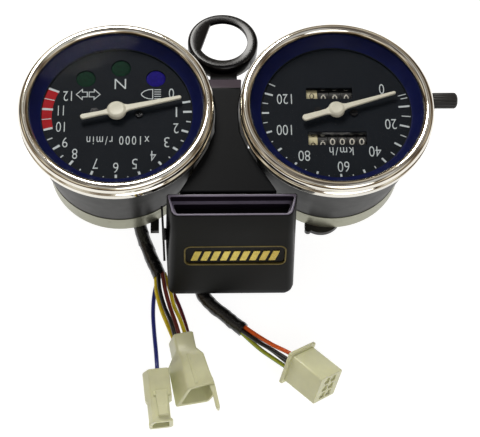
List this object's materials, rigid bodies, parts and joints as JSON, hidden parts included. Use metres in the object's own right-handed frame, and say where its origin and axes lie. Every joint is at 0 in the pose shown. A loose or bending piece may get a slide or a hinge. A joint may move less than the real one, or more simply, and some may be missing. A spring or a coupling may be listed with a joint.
{
  "type": "motorcycle instrument cluster",
  "caption": "Twin round chrome-rimmed gauges on one bracket, with a centre cover, a key ring, an indicator hood, a trip reset knob and wiring to nylon connectors.",
  "frame": {"origin": "midpoint between the two fixing bolts, on the plane the isolators stand on", "axes": "+Z normal to the dials and up, +X to the speedometer and its reset knob, +Y to the key ring and the rider"},
  "size_m": [0.1937, 0.1784, 0.066],
  "materials": {
    "bracket_steel": "grey-brown phosphated steel, dull",
    "black_rubber": "matt black rubber",
    "zinc_steel": "bright zinc plate",
    "cover_plastic": "dark teal-grey satin moulding",
    "gloss_black": "high gloss black",
    "bracket_black": "satin black paint",
    "hood_plastic": "near-black satin moulding",
    "smoked_window": "dark smoked acrylic",
    "lamp_board": "circuit board and lamp sockets",
    "gold_trim": "gold hot foil",
    "black_screw": "blackened steel",
    "chrome": "polished chrome plate",
    "clear_glass": "clear glass",
    "navy_ring": "satin navy moulding",
    "dial_black": "printed matt dial",
    "case_black": "satin dark grey paint",
    "cup_zinc": "greenish zinc plate",
    "plated_brass": "plated brass",
    "diecast": "die-cast, rough",
    "soft_aluminium": "spun",
    "spring_bronze": "phosphor bronze",
    "needle_white": "off-white satin",
    "lamp_lens": "tinted acrylic, green and blue",
    "acetal": "natural acetal",
    "drum_cream": "cream number drum",
    "drum_black": "black number drums",
    "knob_plastic": "ribbed black knob",
    "loom_tape": "black harness tape",
    "wire_pvc": "coloured thin-wall wire insulation",
    "wire_blue": "blue wire insulation",
    "nylon": "natural nylon, cream-green"
  },
  "bodies": {
    "root": {"mounting_bracket": "bracket_steel", "isolators": "black_rubber", "fixing_sleeves": "zinc_steel", "centre_cover": "cover_plastic", "key_ring": "gloss_black", "hood_stay": "bracket_black", "indicator_hood": "hood_plastic", "hood_window": "smoked_window", "warning_lamp_board": "lamp_board", "nameplate_frame": "gold_trim", "nameplate_face": "gloss_black", "glass_gaskets": "black_rubber", "dial_screws": "black_screw", "tach_bezel": "chrome", "tach_glass": "clear_glass", "tach_reflector": "navy_ring", "tach_dial": "dial_black", "tach_case": "case_black", "tach_cup": "cup_zinc", "tach_union": "plated_brass", "tach_movement": "diecast", "tach_lenses": "lamp_lens", "tach_bulb_holders": "black_rubber", "speedo_bezel": "chrome", "speedo_glass": "clear_glass", "speedo_reflector": "navy_ring", "speedo_dial": "dial_black", "speedo_case": "case_black", "speedo_cup": "cup_zinc", "speedo_union": "plated_brass", "speedo_movement": "diecast", "speedo_bulb_holders": "black_rubber", "odometer_pawl": "zinc_steel", "odometer_axle": "zinc_steel", "harness_grommet": "black_rubber", "tach_loom": "loom_tape", "tach_loom_wires": "wire_pvc", "blue_wire": "wire_blue", "single_connector": "nylon", "multi_connector": "nylon", "hood_loom": "loom_tape", "hood_loom_wires": "wire_pvc", "six_pin_connector": "nylon"},
    "tach_drive": {"tach_magnet_shaft": "zinc_steel"},
    "tach_pointer": {"tach_spindle": "soft_aluminium", "tach_hairspring": "spring_bronze", "tach_needle": "needle_white"},
    "speedo_drive": {"speedo_magnet_shaft": "zinc_steel", "speedo_worm": "acetal"},
    "speedo_pointer": {"speedo_spindle": "soft_aluminium", "speedo_hairspring": "spring_bronze", "speedo_needle": "needle_white"},
    "worm_wheel": {"worm_wheel_shaft": "acetal"},
    "odometer_tenths": {"odometer_tenths_drum": "drum_cream"},
    "odometer_upper": {"odometer_upper_drums": "drum_black"},
    "trip_idler": {"trip_idler_gear": "acetal"},
    "trip_tenths": {"trip_tenths_drum": "drum_cream"},
    "trip_upper": {"trip_upper_drums": "drum_black"},
    "trip_reset": {"trip_reset_shaft": "zinc_steel", "trip_reset_knob": "knob_plastic"}
  },
  "joints": [
    {"name": "tach_drive_turn", "type": "hinge", "parent": "root", "child": "tach_drive", "pos_m": [-0.048, 0, 0.02], "axis": [0, 0, 1], "continuous": true},
    {"name": "tach_needle_sweep", "type": "hinge", "parent": "root", "child": "tach_pointer", "pos_m": [-0.048, 0, 0.043], "axis": [0, 0, 1], "range_deg": [-216, 0], "stiffness_Nm_per_rad": 0.00005, "springref_deg": 11.46},
    {"name": "speedo_drive_turn", "type": "hinge", "parent": "root", "child": "speedo_drive", "pos_m": [0.048, 0, 0.02], "axis": [0, 0, 1], "continuous": true},
    {"name": "speedo_needle_sweep", "type": "hinge", "parent": "root", "child": "speedo_pointer", "pos_m": [0.048, 0, 0.043], "axis": [0, 0, 1], "range_deg": [-224, 0], "stiffness_Nm_per_rad": 0.00005, "springref_deg": 11.46},
    {"name": "worm_wheel_turn", "type": "hinge", "parent": "root", "child": "worm_wheel", "pos_m": [0.048, -0.00718, 0.0296], "axis": [1, 0, 0], "continuous": true},
    {"name": "odometer_tenths_turn", "type": "hinge", "parent": "root", "child": "odometer_tenths", "pos_m": [0.048, -0.01325, 0.0518], "axis": [1, 0, 0], "continuous": true},
    {"name": "odometer_upper_turn", "type": "hinge", "parent": "root", "child": "odometer_upper", "pos_m": [0.048, -0.01325, 0.0518], "axis": [1, 0, 0], "continuous": true},
    {"name": "trip_idler_turn", "type": "hinge", "parent": "root", "child": "trip_idler", "pos_m": [0.048, -0.00175, 0.04574], "axis": [1, 0, 0], "continuous": true},
    {"name": "trip_tenths_turn", "type": "hinge", "parent": "root", "child": "trip_tenths", "pos_m": [0.048, 0.00975, 0.0518], "axis": [1, 0, 0], "continuous": true},
    {"name": "trip_upper_turn", "type": "hinge", "parent": "root", "child": "trip_upper", "pos_m": [0.048, 0.00975, 0.0518], "axis": [1, 0, 0], "continuous": true},
    {"name": "trip_reset_turn", "type": "hinge", "parent": "root", "child": "trip_reset", "pos_m": [0.09, 0.00975, 0.0518], "axis": [1, 0, 0], "continuous": true}
  ],
  "couplings": [
    {"joint": "worm_wheel_turn", "follows": "speedo_drive_turn", "ratio": -0.035714},
    {"joint": "odometer_tenths_turn", "follows": "speedo_drive_turn", "ratio": -0.00071429},
    {"joint": "odometer_upper_turn", "follows": "speedo_drive_turn", "ratio": -0.000071429},
    {"joint": "trip_idler_turn", "follows": "speedo_drive_turn", "ratio": 0.00044643},
    {"joint": "trip_tenths_turn", "follows": "speedo_drive_turn", "ratio": -0.00071429},
    {"joint": "trip_upper_turn", "follows": "speedo_drive_turn", "ratio": -0.000071429}
  ]
}
